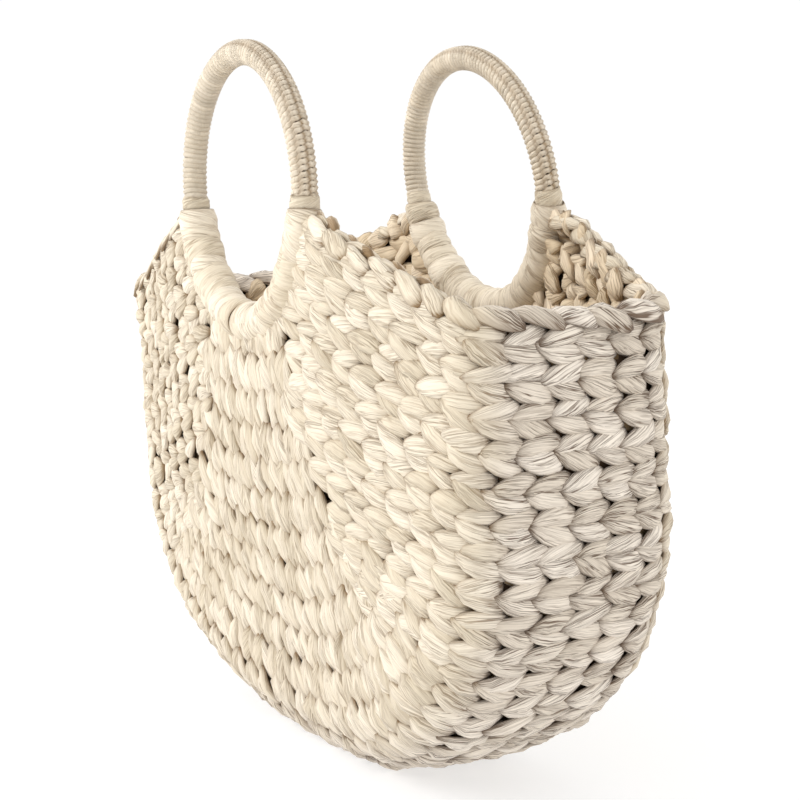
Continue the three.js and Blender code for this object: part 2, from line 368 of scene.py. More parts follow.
def side_points(place):
    """Places and normals of a column round the front corner, across the side and round the back corner."""
    depth = float(half_depth(place))
    normal = outline_normal(place)
    x, z = outline_at(place)
    points, normals = [], []
    corner = {face: float(corner_radius(face, place)) for face in (FRONT, BACK)}

    def add(depth_out, tilt, face):
        lead, shrink = corner_lead(face, place)
        swell = SIDE_BULGE * (1 - (depth_out / depth) ** 2)
        out = shrink * (swell - corner[face] * (1 - math.sin(tilt)))
        points.append((x + lead[0] * out, face * depth_out, z + lead[1] * out))
        normals.append((normal[0] * math.sin(tilt), face * math.cos(tilt), normal[1] * math.sin(tilt)))

    turns = np.linspace(0, math.pi / 2, 16)[1:]
    for tilt in turns:
        add(depth - corner[FRONT] * (1 - math.cos(tilt)), tilt, FRONT)
    front_count = len(points)
    for y in np.linspace(corner[FRONT] - depth, depth - corner[BACK], 24)[1:-1]:
        add(abs(y), math.pi / 2, FRONT if y < 0 else BACK)
    for tilt in turns[::-1]:
        add(depth - corner[BACK] * (1 - math.cos(tilt)), tilt, BACK)
    return np.array(points), np.array(normals), front_count


def arc_lengths(points):
    return np.append(0, np.cumsum(np.linalg.norm(np.diff(points, axis=0), axis=1)))


def finished_path(points, normals):
    """A path's places with unit directions along it, out of it and across it."""
    along = np.gradient(points, axis=0)
    along /= np.linalg.norm(along, axis=1, keepdims=True)
    normals = normals - along * np.sum(normals * along, axis=1, keepdims=True)
    normals /= np.linalg.norm(normals, axis=1, keepdims=True)
    return {"at": points, "along": along, "out": normals, "across": np.cross(normals, along)}


def column_path(place):
    """One column of stitches from the front ring over the side to the back ring.

    Lengths along it are counted from the start of the side, where the stitches of all columns line up.
    """
    front, front_normals, front_end = panel_points(FRONT, place)
    back, back_normals, back_end = panel_points(BACK, place)
    side, side_normals, corner_count = side_points(place)
    points = np.concatenate([front[::-1], side, back])
    points[:, 1] += MIDDLE_Y
    normals = np.concatenate([front_normals[::-1], side_normals, back_normals])
    path = finished_path(points, normals)
    lengths = arc_lengths(points)
    zero = lengths[len(front) + corner_count - 1]
    path["length"] = lengths - zero
    path["start"] = lengths[len(front) - 1] - front_end - zero
    path["corner_front"] = lengths[len(front) - 1] - zero
    path["corner_back"] = lengths[len(front) + len(side)] - zero
    path["end"] = path["corner_back"] + back_end
    return path


def column_places():
    """Signed places of the columns on the outline, from the rim's left end to its right end."""
    count = 2 * round(HALF_LENGTH / sizes().column_width)
    return [(2 * k + 1) / count - 1 for k in range(count)]


def on_path(path, along, across, out):
    """Places at a length along a path, across it and out of it. Straw near the floor settles on it."""
    def value(name):
        return np.stack([np.interp(along, path["length"], path[name][:, k]) for k in range(3)], -1)

    place = value("at") + across[..., None] * value("across") + out[..., None] * value("out")
    place[..., 2] = SETTLE * np.logaddexp(0, place[..., 2] / SETTLE)
    return place


# Modelling helpers

def deselect_all():
    if bpy.context.object and bpy.context.object.mode != "OBJECT":
        bpy.ops.object.mode_set(mode="OBJECT")
    bpy.ops.object.select_all(action="DESELECT")


def select_where(obj, chosen):
    """Goes to edit mode with the vertices selected that the test takes."""
    bpy.ops.object.mode_set(mode="OBJECT")
    bpy.context.tool_settings.mesh_select_mode = (True, False, False)
    mesh = obj.data
    mesh.edges.foreach_set("select", [False] * len(mesh.edges))
    mesh.polygons.foreach_set("select", [False] * len(mesh.polygons))
    mesh.vertices.foreach_set("select", [bool(chosen(vertex.co)) for vertex in mesh.vertices])
    bpy.ops.object.mode_set(mode="EDIT")


def taken_apart(obj):
    """The vertices, faces and UV corners of a shape that is modelled once, and the shape is deleted."""
    bpy.ops.object.mode_set(mode="OBJECT")
    mesh = obj.data
    places = np.array([vertex.co for vertex in mesh.vertices])
    faces = [tuple(polygon.vertices) for polygon in mesh.polygons]
    corners = np.zeros(2 * len(mesh.loops))
    mesh.uv_layers.active.data.foreach_get("uv", corners)
    bpy.data.objects.remove(obj)
    bpy.data.meshes.remove(mesh)
    return {"at": places, "faces": faces, "uv": corners.reshape(-1, 2)}


def joined_copies(name, shape, places, corners, tones, tucks):
    """One mesh from many copies of a shape, each with its own vertices, UVs, tone and painted shade where
    it tucks under.
    """
    count, size = places.shape[:2]
    faces = [tuple(v + k * size for v in face) for k in range(count) for face in shape["faces"]]
    mesh = bpy.data.meshes.new(name)
    mesh.from_pydata(places.reshape(-1, 3), [], faces)
    layer = mesh.uv_layers.new(name="UVMap")
    layer.data.foreach_set("uv", corners.astype(np.float32).ravel())
    tone = mesh.attributes.new("tone", "FLOAT", "POINT")
    tone.data.foreach_set("value", np.repeat(tones, size).astype(np.float32))
    tuck = mesh.attributes.new("tuck", "FLOAT", "POINT")
    tuck.data.foreach_set("value", tucks.astype(np.float32).ravel())
    mesh.update()
    obj = bpy.data.objects.new(name, mesh)
    bpy.context.scene.collection.objects.link(obj)
    deselect_all()
    bpy.context.view_layer.objects.active = obj
    obj.select_set(True)
    bpy.ops.object.shade_smooth()
    return obj


def hand_over(obj, material, slot, *nodes):
    """Gives a finished piece its material and its place in the model."""
    obj.data.materials.clear()
    obj.data.materials.append(material)
    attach(obj, "root")
    if nodes:
        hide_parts(*nodes)


# Materials

# Distances from the middle plane between which the sides' painted shade, a greyer copy of the straw, gives
# way to the faces' straw.
SIDE_SHADE = (0.034, 0.054)
# Sockets of the fibre group. One that has no kind here is a plain number.
FIBRE_INPUTS = ("Vector", "Tone", "Tuck", "Straw", "Fold", "Fibre Density", "Line Strength", "Twist")
FIBRE_OUTPUTS = ("Color", "Height", "Roughness")
SOCKET_KINDS = {"Vector": "NodeSocketVector", "Straw": "NodeSocketColor", "Fold": "NodeSocketColor",
                "Color": "NodeSocketColor"}


def new_node(tree, kind, values=None, **settings):
    """A new node with its settings, and with the values of its inputs that stay unlinked."""
    made = tree.nodes.new(kind)
    for name, setting in settings.items():
        setattr(made, name, setting)
    for name, value in (values or {}).items():
        made.inputs[name].default_value = value
    return made


def math_node(tree, operation, *values):
    """The result of a Math node on numbers and on other nodes' outputs."""
    made = new_node(tree, "ShaderNodeMath", operation=operation)
    for k, value in enumerate(values):
        if isinstance(value, (int, float)):
            made.inputs[k].default_value = value
        else:
            tree.links.new(value, made.inputs[k])
    return made.outputs[0]


def map_range(tree, value, start, end, low=0.0, high=1.0, **settings):
    """A value that goes from low to high while the given one goes from start to end."""
    limits = {"From Min": start, "From Max": end, "To Min": low, "To Max": high}
    made = new_node(tree, "ShaderNodeMapRange", limits, **settings)
    tree.links.new(value, made.inputs["Value"])
    return made.outputs["Result"]


def fibre_coordinates(group, given):
    """Coordinates drawn out along the straw, which each piece's tone skews and shifts."""
    calc, link = partial(math_node, group), group.links.new
    split = new_node(group, "ShaderNodeSeparateXYZ")
    link(given["Vector"], split.inputs[0])
    skew = calc("ADD", calc("MULTIPLY", calc("SUBTRACT", given["Tone"], 0.5), 0.9), given["Twist"])
    across = calc("ADD", split.outputs["Y"], calc("MULTIPLY", split.outputs["X"], skew))
    joined = new_node(group, "ShaderNodeCombineXYZ")
    link(calc("MULTIPLY", split.outputs["X"], 85), joined.inputs["X"])
    link(calc("MULTIPLY", across, given["Fibre Density"]), joined.inputs["Y"])
    link(calc("MULTIPLY", given["Tone"], 37), joined.inputs["Z"])
    return joined.outputs[0]


def fibre_group():
    """Fine fibres along a strip of straw: a colour, a height and a roughness that change over it. The
    colour carries painted shade where the straw tucks under and in its creases.
    """
    if "Straw Fibres" in bpy.data.node_groups:
        return bpy.data.node_groups["Straw Fibres"]
    group = bpy.data.node_groups.new("Straw Fibres", "ShaderNodeTree")
    for in_out, sockets in (("INPUT", FIBRE_INPUTS), ("OUTPUT", FIBRE_OUTPUTS)):
        for name in sockets:
            kind = SOCKET_KINDS.get(name, "NodeSocketFloat")
            group.interface.new_socket(name=name, in_out=in_out, socket_type=kind)
    calc, link = partial(math_node, group), group.links.new
    given, outputs = new_node(group, "NodeGroupInput").outputs, new_node(group, "NodeGroupOutput").inputs
    place = fibre_coordinates(group, given)

    def noise(scale, detail, roughness=0.5):
        values = {"Scale": scale, "Detail": detail, "Roughness": roughness}
        made = new_node(group, "ShaderNodeTexNoise", values)
        link(place, made.inputs["Vector"])
        return made.outputs["Fac"]

    fibres, creases, patches = noise(1, 3, 0.6), noise(0.8, 1), noise(0.17, 1)
    ridge = calc("ABSOLUTE", calc("SUBTRACT", creases, 0.5))
    crease = calc("MULTIPLY", map_range(group, ridge, 0.0, 0.075, 1.0, 0.0),
                  map_range(group, patches, 0.36, 0.62, 0.2, 1.0))
    grain = map_range(group, fibres, 0.54, 0.34)
    # Painted shade in the creases, plus the fibres' own grain streaks.
    crease_shade_and_grain = calc("ADD", calc("MULTIPLY", crease, 0.9), calc("MULTIPLY", grain, 0.32))
    crease_shade_and_grain = calc("MULTIPLY", crease_shade_and_grain, given["Line Strength"])
    tinted = new_node(group, "ShaderNodeMix", data_type="RGBA", clamp_factor=True)
    # Painted shade: the tuck attribute darkens the straw towards the tuck colour at tucked ends, flanks and
    # undersides.
    link(calc("ADD", calc("POWER", given["Tuck"], 1.25), crease_shade_and_grain), tinted.inputs["Factor"])
    link(given["Straw"], tinted.inputs["A"])
    link(given["Fold"], tinted.inputs["B"])
    toned = new_node(group, "ShaderNodeHueSaturation")
    paler = calc("MULTIPLY", given["Tone"], 0.24)
    link(calc("ADD", 0.86, paler), toned.inputs["Value"])
    link(calc("SUBTRACT", 1.12, paler), toned.inputs["Saturation"])
    link(tinted.outputs["Result"], toned.inputs["Color"])
    link(toned.outputs["Color"], outputs["Color"])
    link(calc("SUBTRACT", fibres, calc("MULTIPLY", crease, 0.6)), outputs["Height"])
    link(calc("ADD", 0.52, calc("MULTIPLY", fibres, 0.2)), outputs["Roughness"])
    return group


def straw_material(name, straw, fold, density=1000.0, lines=0.8, bump=0.0006, twist=0.0, sides=None):
    """Straw whose fibres follow the piece's own UV map, which is in metres.

    Sides is the straw colour and the tuck colour between the two faces, greyer and darker than on the faces
    as painted shade for the sides' dimmer light.
    """
    if name in bpy.data.materials:
        return bpy.data.materials[name]
    material = bpy.data.materials.new(name)
    material.use_nodes = True
    tree = material.node_tree
    link = tree.links.new
    shader = tree.nodes["Principled BSDF"]
    shader.inputs["Specular IOR Level"].default_value = 0.35
    shader.inputs["Sheen Weight"].default_value = 0.12
    shader.inputs["Sheen Roughness"].default_value = 0.4
    fibres = new_node(tree, "ShaderNodeGroup", node_tree=fibre_group())
    for label, value in (("Straw", (*straw, 1)), ("Fold", (*fold, 1)), ("Fibre Density", density),
                         ("Line Strength", lines), ("Twist", twist)):
        fibres.inputs[label].default_value = value
    if sides:
        shade_sides(tree, fibres, (straw, fold), sides, lines)
    uv = new_node(tree, "ShaderNodeUVMap", uv_map="UVMap")
    link(uv.outputs["UV"], fibres.inputs["Vector"])
    for label in ("Tone", "Tuck"):
        attribute = new_node(tree, "ShaderNodeAttribute", attribute_name=label.lower())
        link(attribute.outputs["Fac"], fibres.inputs[label])
    relief = new_node(tree, "ShaderNodeBump", {"Strength": 0.7, "Distance": bump})
    link(fibres.outputs["Height"], relief.inputs["Height"])
    link(fibres.outputs["Color"], shader.inputs["Base Color"])
    link(fibres.outputs["Roughness"], shader.inputs["Roughness"])
    link(relief.outputs["Normal"], shader.inputs["Normal"])
    return material


def shade_sides(tree, fibres, faces, sides, lines):
    """Paints shade on the sides: mixes the colours of the faces and of the sides by the distance from the
    bag's middle plane.
    """
    link = tree.links.new
    place = new_node(tree, "ShaderNodeTexCoord")
    split = new_node(tree, "ShaderNodeSeparateXYZ")
    link(place.outputs["Object"], split.inputs[0])
    far = math_node(tree, "ABSOLUTE", math_node(tree, "SUBTRACT", split.outputs["Y"], MIDDLE_Y))
    mask = map_range(tree, far, *SIDE_SHADE, 1, 0, interpolation_type="SMOOTHSTEP")
    for name, face_colour, side_colour in zip(("Straw", "Fold"), faces, sides):
        mix = new_node(tree, "ShaderNodeMix", data_type="RGBA")
        mix.inputs["A"].default_value = (*face_colour, 1)
        mix.inputs["B"].default_value = (*side_colour, 1)
        link(mask, mix.inputs["Factor"])
        link(mix.outputs["Result"], fibres.inputs[name])
    # Painted shade: stronger dark lines on the sides.
    link(math_node(tree, "MULTIPLY_ADD", mask, 0.6 * lines, lines), fibres.inputs["Line Strength"])


def crochet_straw():
    c = colours()
    # The sides and base get the greyer painted-shade colours.
    return straw_material("Crochet Straw", c.straw, c.fold, 1500.0, 0.72, 0.0009,
                          sides=(c.shaded_side_straw, c.side_fold_shade))


def gap_shade_material():
    """Near-black, uneven straw that is seen only between the stitches: painted shade in the gaps."""
    material = bpy.data.materials.new("Painted Shade In The Gaps")
    material.use_nodes = True
    tree = material.node_tree
    link = tree.links.new
    shader = tree.nodes["Principled BSDF"]
    shader.inputs["Roughness"].default_value = 0.9
    place = new_node(tree, "ShaderNodeTexCoord")
    noise = new_node(tree, "ShaderNodeTexNoise", {"Scale": 260})
    link(place.outputs["Object"], noise.inputs["Vector"])
    mix = new_node(tree, "ShaderNodeMix", data_type="RGBA")
    mix.inputs["A"].default_value = (*colours().gap, 1)
    mix.inputs["B"].default_value = (*(3 * value for value in colours().gap), 1)
    link(noise.outputs["Fac"], mix.inputs["Factor"])
    link(mix.outputs["Result"], shader.inputs["Base Color"])
    return material


# Stitches

# Place along a leg from its pointed start to its tucked end, half width and half thickness there.
LEG_RINGS = ((-0.924, 0.30, 0.42), (-0.707, 0.58, 0.70), (-0.383, 0.87, 0.93), (0.0, 1.0, 1.0),
             (0.383, 1.02, 1.0), (0.707, 0.90, 0.86), (0.924, 0.58, 0.55))


def leg_shape():
    """One leg of a V stitch, lying along X: a leaf with two points, flat below and flatter on top."""
    deselect_all()
    bpy.ops.mesh.primitive_uv_sphere_add(segments=10, ring_count=8, radius=1, calc_uvs=True)
    leg = bpy.context.object
    bpy.ops.object.mode_set(mode="EDIT")
    bpy.ops.mesh.select_all(action="SELECT")
    bpy.ops.transform.rotate(value=-math.pi / 2, orient_axis="Y", center_override=(0, 0, 0))
    for share, factor in ((0.59, 1.10), (0.95, 1.40)):
        select_where(leg, lambda at, share=share: abs(abs(at.y) - share * math.hypot(at.y, at.z)) < 0.02)
        bpy.ops.transform.resize(value=(1, 1, factor), center_override=(0, 0, 0))
    for place, width, thickness in LEG_RINGS:
        select_where(leg, lambda at, place=place: abs(at.x - place) < 0.02)
        round_size = math.sqrt(1 - place ** 2)
        bpy.ops.transform.resize(value=(1, width / round_size, thickness / round_size),
                                 center_override=(0, 0, 0))
    select_where(leg, lambda at: at.z < -0.05)
    bpy.ops.transform.resize(value=(1, 1, 0.6), center_override=(0, 0, 0))
    return taken_apart(leg)


# The next functions give what the legs of one kind of stitch share, in metres and radians:
# spread and inner: a leg's angle to its column and its point's distance from the column's middle.
# bow, crumple: how far a leg bows aside and how deep its crumples are.
# tuck, droop: how deep a leg's end goes under the next stitch and how far its point sinks.
# outward, level: 1 outside the wall and -1 inside it, and the height over the wall's outside.
# arch: how much a leg sinks with the square of its distance from the column's middle.

def outer_size():
    s = sizes()
    return {"length": s.leg_length, "width": s.leg_width, "thickness": s.leg_thickness,
            "spread": s.spread, "inner": -0.0002, "bow": 0.0012, "crumple": 0.00045,
            "tuck": 0.0036, "droop": 0.0014, "outward": 1.0, "level": 0.0021, "arch": 0.0}


def inner_size():
    s = sizes()
    return {"length": s.knot_length, "width": s.knot_width, "thickness": 0.0066,
            "spread": math.radians(24), "inner": -0.0004, "bow": 0.0012, "crumple": 0.0007,
            "tuck": 0.0030, "droop": 0.0020, "outward": -1.0, "level": -(WALL + 0.0022), "arch": 0.0}


def braid_size():
    return {"length": handle_sizes().braid_leg, "width": 0.0070, "thickness": 0.0092,
            "spread": math.radians(8), "inner": 0.0002, "bow": 0.0012, "crumple": 0.0005,
            "tuck": 0.0036, "droop": 0.0022, "outward": 1.0, "level": 0.0, "arch": 100.0}


def strand_size():
    return {"length": 0.019, "width": 0.0072, "thickness": 0.0042, "bow": 0.0, "crumple": 0.0004,
            "tuck": 0.0030, "droop": 0.0022, "outward": 1.0, "level": 0.0012, "arch": 0.0}


def lay_legs(path, shape, legs, size):
    """Bends copies of a leg along a path. Legs holds each leg's own numbers, size those they share."""
    at = shape["at"]
    count = len(legs["start"])
    u, a, b = at[None, :, 0], at[None, :, 1], at[None, :, 2]

    def each(values):
        return np.asarray(values)[:, None]

    length, width, thick = size["length"], size["width"], each(size["thickness"] * legs["tall"])
    along = u * each(length * legs["long"]) / 2
    bow = each(legs["side"] * size["bow"]) * (1 - u ** 2)
    across = a * each(width * legs["wide"]) / 2
    angle = each(legs["turn"])
    ripple = each(legs["ripple"])
    body = 1 - np.abs(u) ** 3
    crumple = size["crumple"] * body * np.sin(3.1 * u + 2.3 * a + ripple)
    crumple = crumple + 0.6 * size["crumple"] * np.sin(7.3 * u - 1.9 * a * b + 2.7 * ripple)
    groove = each(legs["groove"]) * body * np.clip(1 - (a / 0.5) ** 2, 0, 1) * (b > 0)
    path_along = each(legs["start"]) + along * np.cos(angle) - across * np.sin(angle)
    path_across = each(legs["across"]) + bow + along * np.sin(angle) + across * np.cos(angle)
    tucked = size["tuck"] * ((1 + u) / 2) ** 2.4 + size["droop"] * np.clip(-u, 0, 1) ** 3
    twist = each(legs["twist"]) * u * a * width / 2
    out = each(legs["lift"]) - thick / 2 + b * thick / 2 - tucked - groove + twist
    out = out + crumple * (0.4 + 0.6 * (b > 0)) - size["arch"] * path_across ** 2
    path_along = np.broadcast_to(path_along, (count, at.shape[0]))
    return on_path(path, path_along, np.broadcast_to(path_across, path_along.shape),
                   np.broadcast_to(out, path_along.shape) * size["outward"] + size["level"])


def leg_uvs(shape, count, length, width, rng):
    """UVs in metres for copies of a leg, each at its own place on the endless strip of straw."""
    across, along = shape["uv"][:, 0], shape["uv"][:, 1]
    base = np.stack([along * length, across * width * 2.6], 1)
    return base[None] + rng.uniform(0, 4, (count, 1, 2))


def leg_tuck_shade(shape, count):
    """Painted shade on each vertex of a leg where it is tucked under: its two ends, its flanks and its
    underside.
    """
    u, b = shape["at"][:, 0], shape["at"][:, 2]
    ends = np.clip((np.abs(u) - 0.55) / 0.45, 0, 1) ** 1.5
    under = np.clip(0.62 - b, 0, 1)
    return np.tile(np.clip(ends * 0.8 + under * 0.8, 0, 1), (count, 1))


def legs_piece(name, shape, places, size, rng, tones=None):
    """One piece from the places of many legs, each with a tone of its own."""
    corners = leg_uvs(shape, len(places), size["length"], size["width"], rng)
    if tones is None:
        tones = rng.uniform(0, 1, len(places))
    return joined_copies(name, shape, places, corners, tones, leg_tuck_shade(shape, len(places)))


def stitch_starts(low, high, pitch):
    """Starts of the stitches between two lengths of a column. The end ones stay under the rings."""
    first, last = math.ceil(low / pitch - 0.95), math.floor(high / pitch - 0.3)
    return np.clip(np.arange(first, last + 1) * pitch, low - 0.75 * pitch, high - 0.75 * pitch)


def v_legs(starts, size, rng, unevenness):
    """Both legs of each V that starts at these lengths, with their small irregularities."""
    count = 2 * len(starts)
    side = np.tile([1.0, -1.0], len(starts))
    ahead = math.cos(size["spread"]) * size["length"] / 2
    aside = math.sin(size["spread"]) * size["length"] / 2 + size["inner"]

    def uneven(scale, middle=0.0):
        return rng.normal(middle, scale, count) * unevenness

    return {
        "side": side,
        "turn": side * size["spread"] + uneven(0.06),
        "start": np.repeat(starts, 2) + ahead + uneven(0.0008),
        "across": side * aside + uneven(0.0004),
        "long": 1 + uneven(0.06),
        "wide": 1 + uneven(0.08),
        "tall": np.ones(count),
        "lift": uneven(0.00045, 0.0004),
        "ripple": rng.uniform(0, 2 * math.pi, count),
        "twist": uneven(0.16),
        "groove": rng.normal(0.0003, 0.0005, count),
    }


def stitch_field(name, stretch_of, size, seed, unevenness):
    """The V stitches of every column on one stretch of the body, as one piece."""
    rng = np.random.default_rng(seed)
    shape, pitch = leg_shape(), sizes().pitch
    places, tones = [], []
    for place in column_places():
        path = column_path(place)
        low, high = stretch_of(path)
        legs = v_legs(stitch_starts(low, high, pitch), size, rng, unevenness)
        places.append(lay_legs(path, shape, legs, size))
        tones.append(rng.uniform(0, 1, len(legs["side"])))
    return legs_piece(name, shape, np.concatenate(places), size, rng, np.concatenate(tones))


def side_stretch(path):
    """From the first whole stitch past the front corner to the last one before the back corner."""
    pitch = sizes().pitch
    return math.ceil(path["corner_front"] / pitch) * pitch, math.floor(path["corner_back"] / pitch) * pitch


class BAG_OT_gap_shade_straw(bpy.types.Operator):
    """Hidden straw between the outer and the inner stitches, near-black as painted shade in the gaps"""
    bl_idname = "bag.gap_straw"
    bl_label = "Painted Shade Behind The Stitches"

    def execute(self, context):
        deselect_all()
        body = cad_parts["basket_body"]
        ground = bpy.data.objects.new("gap_straw", body.data.copy())
        context.scene.collection.objects.link(ground)
        context.view_layer.objects.active = ground
        ground.select_set(True)
        bpy.ops.object.mode_set(mode="EDIT")
        bpy.ops.mesh.select_all(action="SELECT")
        bpy.ops.mesh.remove_doubles(threshold=0.00002)
        bpy.ops.transform.shrink_fatten(value=-0.0036)
        bpy.ops.object.mode_set(mode="OBJECT")
        bpy.ops.object.shade_smooth()
        hand_over(ground, gap_shade_material(), "crochet_straw")
        return {"FINISHED"}


class BAG_OT_panel_stitches(bpy.types.Operator):
    """V stitches of the front and the back panel, which fan out from the rings"""
    bl_idname = "bag.panel_stitches"
    bl_label = "Panel Stitches"

    def execute(self, context):
        front = stitch_field("front_panel_stitches", lambda path: (path["start"], side_stretch(path)[0]),
                             outer_size(), 11, 1.0)
        hand_over(front, crochet_straw(), "crochet_straw", "basket_body")
        back = stitch_field("back_panel_stitches", lambda path: (side_stretch(path)[1], path["end"]),
                            outer_size(), 12, 1.0)
        hand_over(back, crochet_straw(), "crochet_straw")
        return {"FINISHED"}


class BAG_OT_side_stitches(bpy.types.Operator):
    """V stitches across the sides and the base"""
    bl_idname = "bag.side_stitches"
    bl_label = "Side And Base Stitches"

    def execute(self, context):
        stitches = stitch_field("side_and_base_stitches", side_stretch, outer_size(), 13, 1.0)
        hand_over(stitches, crochet_straw(), "crochet_straw")
        return {"FINISHED"}


class BAG_OT_inner_stitches(bpy.types.Operator):
    """Plump loops that the stitches show inside the bag"""
    bl_idname = "bag.inner_stitches"
    bl_label = "Inner Stitches"

    def execute(self, context):
        loops = stitch_field("inner_stitches", lambda path: (path["start"], path["end"]),
                             inner_size(), 14, 2.6)
        loops.data.flip_normals()
        straw = straw_material("Inner Straw", colours().inner_straw, colours().fold)
        hand_over(loops, straw, "crochet_straw")
        return {"FINISHED"}


# Rims

# The braid starts and stops this far from the two ends of its line.
RIM_BRAID_ENDS = (0.0065, 0.0250)
# The braid's top over the wall, how much lower it is on the slopes, and the height at which it is so.
BRAID_LIFT = 0.0088
BRAID_SLOPE_DROP = 0.0044
BRAID_SLOPE_RISE = 0.007


def rim_path(side):
    """The braid's line along one end of the mouth, on top of the wall, from ring to ring."""
    column = column_path(side * 1.0)
    first, last = column["start"] - RUN_ON / 2, column["end"] + RUN_ON / 2
    keep = (column["length"] > first) & (column["length"] < last)
    at, out, along = column["at"][keep], column["out"][keep], column["along"][keep]
    up = np.cross(out, along) * side
    path = finished_path(at - out * WALL / 2 + up * 0.0002, up)
    path["length"] = arc_lengths(path["at"])
    return path


def rim_braid(name, side, seed):
    """The chain on one end of the mouth. On the slopes to the rings it is lower and slimmer."""
    rng = np.random.default_rng(seed)
    shape, size, path = leg_shape(), braid_size(), rim_path(side)
    starts = np.arange(RIM_BRAID_ENDS[0], path["length"][-1] - RIM_BRAID_ENDS[1], sizes().pitch)
    legs = v_legs(starts, size, rng, 1.0)
    height = np.interp(legs["start"], path["length"], path["at"][:, 2])
    slope = np.clip((height - RIM_HEIGHT) / BRAID_SLOPE_RISE, 0, 1)
    legs["lift"] = legs["lift"] + BRAID_LIFT - BRAID_SLOPE_DROP * slope
    legs["wide"] = legs["wide"] * (1.1 - 0.2 * slope)
    legs["tall"] = 1 - 0.36 * slope
    return legs_piece(name, shape, lay_legs(path, shape, legs, size), size, rng)


class BAG_OT_rim_braids(bpy.types.Operator):
    """Braided chain of stitches along both ends of the mouth"""
    bl_idname = "bag.rim_braids"
    bl_label = "Rim Braids"

    def execute(self, context):
        for name, side, seed in (("left", -1, 15), ("right", 1, 16)):
            braid = rim_braid(f"rim_braid_{name}", side, seed)
            hand_over(braid, crochet_straw(), "edging_straw", f"rim_edging_{name}")
        return {"FINISHED"}


# Rings

CORD_THREAD_RADIUS = 0.0015
# Angle by which the cord goes on under the straw at each end.
CORD_OVERLAP = 0.03
# Steps along one turn of the cord, and sides of its round.
CORD_STEPS, CORD_SIDES = 22, 6
# Angles round the ring's tube at which lines of hitches run along the winding.
HITCH_LINES = (-0.75, 0.0, 0.75)


def rolled_grid(name, around, along):
    """A flat grid primitive whose vertices are then placed round a tube: along its X, round its Y."""
    deselect_all()
    bpy.ops.mesh.primitive_grid_add(x_subdivisions=along, y_subdivisions=around, size=2, calc_uvs=True)
    grid = bpy.context.object
    grid.name = grid.data.name = name
    at = np.array([vertex.co for vertex in grid.data.vertices])
    return grid, (at[:, 0] + 1) / 2, (at[:, 1] + 1) / 2


def close_tube(grid, places, uv_scale, tone, tuck):
    """Places the vertices of a rolled grid, joins its two edges and closes its ends."""
    mesh = grid.data
    mesh.vertices.foreach_set("co", places.astype(np.float32).ravel())
    corners = np.zeros(2 * len(mesh.loops), np.float32)
    layer = mesh.uv_layers.active
    layer.name = "UVMap"
    layer.data.foreach_get("uv", corners)
    layer.data.foreach_set("uv", (corners.reshape(-1, 2) * uv_scale).astype(np.float32).ravel())
    for name, values in (("tone", tone), ("tuck", tuck)):
        attribute = mesh.attributes.new(name, "FLOAT", "POINT")
        attribute.data.foreach_set("value", values.astype(np.float32))
    mesh.update()
    bpy.ops.object.mode_set(mode="EDIT")
    bpy.ops.mesh.select_all(action="SELECT")
    bpy.ops.mesh.remove_doubles(threshold=0.00001)
    bpy.ops.mesh.select_all(action="DESELECT")
    bpy.ops.mesh.select_non_manifold()
    bpy.ops.mesh.edge_face_add()
    bpy.ops.mesh.select_all(action="SELECT")
    bpy.ops.mesh.normals_make_consistent(inside=False)
    bpy.ops.object.mode_set(mode="OBJECT")
    bpy.ops.object.shade_smooth()


def ring_frame(face, angle):
    """The ring's centreline, and the directions away from its middle and aside, at each angle."""
    centre = ring_point(face, RING_RADIUS, angle)
    away = ring_point(face, 1, angle) - ring_point(face, 0, angle)
    along = ring_point(face, 1, angle + math.pi / 2) - ring_point(face, 0, angle)
    return centre, away, np.cross(along, away)


def round_tube(away, aside, turn):
    """Directions out of a ring's tube at the turns given, which start on the side away from the middle."""
    return away * np.cos(turn)[:, None] + aside * np.sin(turn)[:, None]


def hitches(phase):
    """How deep the cord dips at the lines of hitches, and how far it slants there."""
    dip, slant = np.zeros_like(phase), np.zeros_like(phase)
    for line in HITCH_LINES:
        off = (phase - line + math.pi) % (2 * math.pi) - math.pi
        dip += np.exp(-(off / 0.17) ** 2)
        slant += 0.0011 * off * np.exp(-(off / 0.30) ** 2) / 0.3
    return dip, slant


